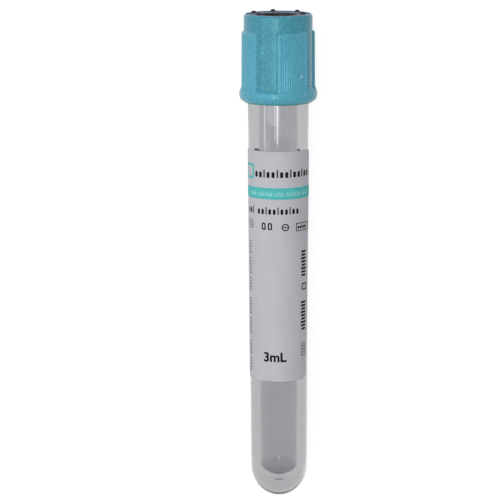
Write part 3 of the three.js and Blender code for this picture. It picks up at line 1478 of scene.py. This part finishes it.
@dataclass(frozen=True)
class Row:
    """A row of alike blocks in place of a line of words, each third one narrow and taller.

    Args:
        start: Left end of the row.
        foot: Foot of the row.
        count: Number of blocks.
        size: Width and height of a wide block.
        gap: Space between blocks.
    """

    start: float
    foot: float
    count: int
    size: Pair
    gap: float
    narrow: float = 0.45
    tall: float = 1.4
    rounding: float = 0.3

    def print_on(self, sheet: InkSheet) -> None:
        """Print the row.

        Args:
            sheet: The ink.
        """
        left = self.start
        for place in range(self.count):
            wide, high = self.size
            if place % 3 == 2:
                wide, high = wide * self.narrow, high * self.tall
            middle = (left + wide / 2, self.foot + high / 2)
            sheet.block(*middle, (wide, high), wide * self.rounding)
            left += wide + self.gap


@dataclass(frozen=True)
class Column:
    """A column of small blocks that reads upwards, in place of upright words or a code.

    Args:
        right: Middle of the column.
        span: Its foot and its top.
        count: Number of places.
        size: Greatest width and the height of a block.
        skip: Places left empty.
    """

    right: float
    span: Pair
    count: int
    size: Pair
    skip: tuple[int, ...] = ()
    rounding: float = 0.25

    def print_on(self, sheet: InkSheet) -> None:
        """Print the column, in blocks of three widths.

        Args:
            sheet: The ink.
        """
        foot, top = self.span
        pitch = (top - foot) / self.count
        high = self.size[1]
        for place in range(self.count):
            if place not in self.skip:
                wide = self.size[0] * (0.8 + 0.1 * ((place * 7) % 3))
                middle = foot + pitch * (place + 0.5)
                sheet.block(self.right, middle, (wide, high), high * self.rounding)


@dataclass(frozen=True)
class Box:
    """The outline of a box.

    Args:
        middle: Its place along the sheet and its height.
        size: Width and height.
        rounding: How far its corners are cut round.
        stroke: Width of the line.
    """

    middle: Pair
    size: Pair
    rounding: float
    stroke: float

    def print_on(self, sheet: InkSheet) -> None:
        """Print the box."""
        sheet.block(*self.middle, self.size, self.rounding, self.stroke)


@dataclass
class LabelPrint:
    """Generic print: rows of plain shapes in place of words, a band, and the fill volume."""

    label: Label
    band_foot: float = 68.0
    band_top: float = 70.5
    band_inset: Pair = (0.05, 1.3)
    square: Box = Box((-7.7, 73.85), (3.3, 3.3), 0.6, 0.5)
    band_counts: tuple[int, ...] = (5, 8, 5, 8, 5)
    band_start: float = -7.4
    band_space: float = 0.45
    band_lift: float = 0.7
    band_block: Pair = (0.32, 0.8)
    band_gap: float = 0.16
    band_pitch: float = 0.43
    lines: tuple[Row | Column | Box, ...] = (
        Row(-5.6, 72.75, 14, (0.66, 1.25), 0.44),
        Row(-8.3, 64.7, 3, (0.56, 1.15), 0.36),
        Row(-4.9, 64.7, 11, (0.56, 1.15), 0.42),
        Box((-3.4, 62.05), (0.95, 1.6), 0.36, 0.3),
        Box((-1.95, 62.05), (0.95, 1.6), 0.36, 0.3),
    )
    sign: Pair = (1.4, 61.85)
    sign_radius: float = 0.82
    sign_stroke: float = 0.24
    sign_bar: Pair = (0.9, 0.26)
    volume: str = "3mL"
    volume_place: Pair = (-0.98, 32.85)
    volume_size: float = 2.9
    volume_weight: float = 0.085
    codes: tuple[Row | Column | Box, ...] = (
        Box((6.05, 61.73), (4.3, 1.8), 0.1, 0.17),
        Row(4.3, 61.35, 6, (0.42, 0.6), 0.16),
        Column(6.25, (50.5, 56.5), 8, (1.8, 0.46)),
        Box((6.45, 48.3), (1.7, 1.5), 0.1, 0.26),
        Column(6.2, (38.5, 45.2), 9, (1.8, 0.46)),
    )
    small_print: tuple[Row | Column | Box, ...] = (
        Column(-7.85, (29.0, 58.6), 46, (1.25, 0.3), (5, 11, 12, 19, 26, 27, 33, 40)),
        Column(-7.3, (61.2, 63.2), 4, (2.3, 0.22)),
        Box((6.15, 34.2), (1.3, 3.0), 0.1, 0.22),
        Column(6.15, (33.2, 35.2), 3, (0.7, 0.3)),
    )

    def build(self, resting: Resting) -> list[Object]:
        """Draw the sheets and roll them on the label."""
        sheets = (self.teal(), self.pale(), self.black(), self.grey())
        return [sheet.build(resting) for sheet in sheets]

    def teal(self) -> InkSheet:
        """The band right round the label, and a plain square before the heading.

        Returns:
            The sheet, still flat.
        """
        sheet = InkSheet(InkTone.TEAL, self.label)
        middle = (self.band_foot + self.band_top) / 2
        wrap = self.label.wrap
        first = wrap.across(self.label.far_angle, middle) + self.band_inset[0]
        last = wrap.across(self.label.edge_angle_top - self.band_inset[1], middle)
        sheet.block((first + last) / 2, middle, (last - first, self.band_top - self.band_foot))
        self.square.print_on(sheet)
        return sheet

    def pale(self) -> InkSheet:
        """A row of pale shapes in the band.

        Returns:
            The sheet, still flat.
        """
        sheet = InkSheet(InkTone.PALE, self.label)
        left = self.band_start
        foot = self.band_foot + self.band_lift
        for count in self.band_counts:
            Row(left, foot, count, self.band_block, self.band_gap).print_on(sheet)
            left += count * self.band_pitch + self.band_space
        return sheet

    def black(self) -> InkSheet:
        """Heading, second line, marks, a barred ring, the upright codes and the figures.

        Returns:
            The sheet, still flat.
        """
        sheet = InkSheet(InkTone.BLACK, self.label)
        for item in self.lines:
            item.print_on(sheet)
        sheet.ring(*self.sign, self.sign_radius, self.sign_stroke)
        sheet.block(*self.sign, self.sign_bar)
        for item in self.codes:
            item.print_on(sheet)
        sheet.figure(self.volume, *self.volume_place, self.volume_size, self.volume_weight)
        return sheet

    def grey(self) -> InkSheet:
        """Small print up the left side and a small sign at the right.

        Returns:
            The sheet, still flat.
        """
        sheet = InkSheet(InkTone.GREY, self.label)
        for item in self.small_print:
            item.print_on(sheet)
        return sheet


# ------------------------------------------------------------------ the studio


class Ray(Enum):
    """Rays to which the table and the surroundings look plain white."""

    CAMERA = "Is Camera Ray"
    GLOSSY = "Is Glossy Ray"
    TRANSMITTED = "Is Transmission Ray"


@dataclass
class Lamp:
    """A soft rectangular lamp, aimed at the tube.

    Args:
        name: Name of the lamp.
        angle: Direction from the front towards the right, in degrees.
        along: Height of its middle along the tube, in mm.
        distance: From the tube's axis, in mm.
        size: Width across the tube and length along it, in mm.
        radiance: Brightness of its face, where 1 is white.
    """

    name: str
    angle: float
    along: float
    distance: float
    size: Pair
    radiance: float

    def place(self, resting: Resting, aim: float) -> None:
        """Hang the lamp and aim it.

        Args:
            resting: Where the tube lies.
            aim: Height on the tube that it points at.
        """
        angle = math.radians(self.angle)
        side, out = self.distance * math.sin(angle), self.distance * math.cos(angle)
        spot = resting.point(side, out, self.along)
        light = bpy.data.lights.new(self.name, "AREA")
        light.shape = "RECTANGLE"
        light.size = self.size[0] * MM
        light.size_y = self.size[1] * MM
        light.energy = self.radiance * math.pi * light.size * light.size_y
        lamp = bpy.data.objects.new(self.name, light)
        bpy.context.scene.collection.objects.link(lamp)
        outward = (spot - resting.point(0.0, 0.0, aim)).normalized()
        across = resting.axis.cross(outward).normalized()
        turn = facing(across, outward.cross(across), outward)
        lamp.matrix_world = Matrix.Translation(spot) @ turn


@dataclass
class Studio:
    """Pale table, even surroundings and soft lamps."""

    resting: Resting
    table_size: float = 4.0
    table_colour: Colour = (0.8, 0.8, 0.8, 1.0)
    shadow_colour: Colour = (0.18, 0.18, 0.18, 1.0)
    glow: float = 0.9
    surroundings: Colour = (0.4, 0.4, 0.4, 1.0)
    aim: float = 52.0
    lamps: tuple[Lamp, ...] = (
        Lamp("key", -20.0, 300.0, 650.0, (650.0, 650.0), 1.82),
        Lamp("left_strip", -53.0, 75.0, 500.0, (60.0, 150.0), 3.6),
        Lamp("middle_box", -10.0, 75.0, 540.0, (150.0, 150.0), 2.2),
        Lamp("near_strip", -4.0, 75.0, 520.0, (34.0, 150.0), 8.0),
    )

    def surface(self, tree: NodeTree, usual: Node, white: Node) -> None:
        """Show one shader to most rays and another to those that should see white.

        Args:
            tree: Nodes of the table or of the world.
            usual: Shader for most rays.
            white: Shader for the rays of the Ray class.
        """
        wiring = Wiring(tree)
        path = wiring.node("ShaderNodeLightPath")
        camera, glossy, transmitted = (Signal(wiring, path.outputs[ray.value]) for ray in Ray)
        sees_white = camera.over(glossy).over(transmitted)
        mix = wiring.node(
            "ShaderNodeMixShader",
            sockets={0: sees_white, 1: usual.outputs[0], 2: white.outputs[0]},
        )
        output = next(node for node in tree.nodes if node.type.startswith("OUTPUT"))
        wiring.feed(output.inputs["Surface"], mix.outputs[0])

    def lay_table(self) -> None:
        """Lay the table under the tube."""
        bpy.ops.object.select_all(action="DESELECT")
        bpy.ops.mesh.primitive_plane_add(size=self.table_size)
        table = bpy.context.object
        table.name = "table_top"
        top = bpy.data.materials.new("pale_table")
        top.use_nodes = True
        tree = top.node_tree
        tree.nodes.remove(tree.nodes["Principled BSDF"])
        wiring = Wiring(tree)
        plain = wiring.node("ShaderNodeBsdfDiffuse", sockets={"Color": self.table_colour})
        shaded = wiring.node("ShaderNodeBsdfDiffuse", sockets={"Color": self.shadow_colour})
        glow = wiring.node("ShaderNodeEmission", sockets={"Strength": self.glow})
        white = wiring.node(
            "ShaderNodeAddShader", sockets={0: shaded.outputs[0], 1: glow.outputs[0]}
        )
        self.surface(tree, plain, white)
        table.data.materials.append(top)

    def surround(self) -> None:
        """Light the tube evenly from all round, with white behind it."""
        world = bpy.data.worlds.new("surroundings")
        world.use_nodes = True
        bpy.context.scene.world = world
        tree = world.node_tree
        even = tree.nodes["Background"]
        even.inputs["Color"].default_value = self.surroundings
        white = Wiring(tree).node("ShaderNodeBackground", sockets={"Color": WHITE})
        self.surface(tree, even, white)

    def build(self) -> None:
        """Set up the table, the surroundings and the lamps."""
        self.lay_table()
        self.surround()
        for lamp in self.lamps:
            lamp.place(self.resting, self.aim)
        LOG.info("studio: %d lamps", len(self.lamps))


@dataclass
class Viewpoint:
    """Camera over the tube, a little towards the cap, that takes in both ends."""

    resting: Resting
    target: float = 55.7
    distance: float = 500.0
    elevation: float = 11.0
    side: float = -6.28
    roll: float = -0.25
    sensor: float = 36.0
    lens: float = 163.8
    near_limit: float = 0.01

    def build(self) -> None:
        """Make the camera the scene's own."""
        resting = self.resting
        elevation = math.radians(self.elevation)
        outward = resting.front * math.cos(elevation) + resting.axis * math.sin(elevation)
        upward = resting.axis * math.cos(elevation) - resting.front * math.sin(elevation)
        across = upward.cross(outward)
        data = bpy.data.cameras.new("camera")
        data.sensor_width = self.sensor
        data.lens = self.lens
        data.clip_start = self.near_limit
        camera = bpy.data.objects.new("camera", data)
        bpy.context.scene.collection.objects.link(camera)
        place = resting.point(self.side, 0.0, self.target) + outward * self.distance * MM
        roll = Matrix.Rotation(math.radians(self.roll), 4, "Z")
        turn = facing(across, upward, outward)
        camera.matrix_world = Matrix.Translation(place) @ turn @ roll
        bpy.context.scene.camera = camera
        LOG.info("camera: %.0f mm lens", self.lens)


# ------------------------------------------------------------------ the whole


def main() -> None:
    """Build the visual model round the frame."""
    logging.basicConfig(level=logging.INFO, format="%(name)s: %(message)s")
    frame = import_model()
    stopper = Stopper()
    resting = Resting.from_frame(frame, stopper.seat_height)
    Viewpoint(resting).build()
    tube = Tube()
    tube.build(resting)
    label = Label(Wrap(tube))
    label.build(resting)
    LabelPrint(label).build(resting)
    stopper.build(resting)
    Cap().build(resting)
    Studio(resting).build()
    bpy.context.scene.view_settings.view_transform = "Standard"


if __name__ == "__main__":
    main()
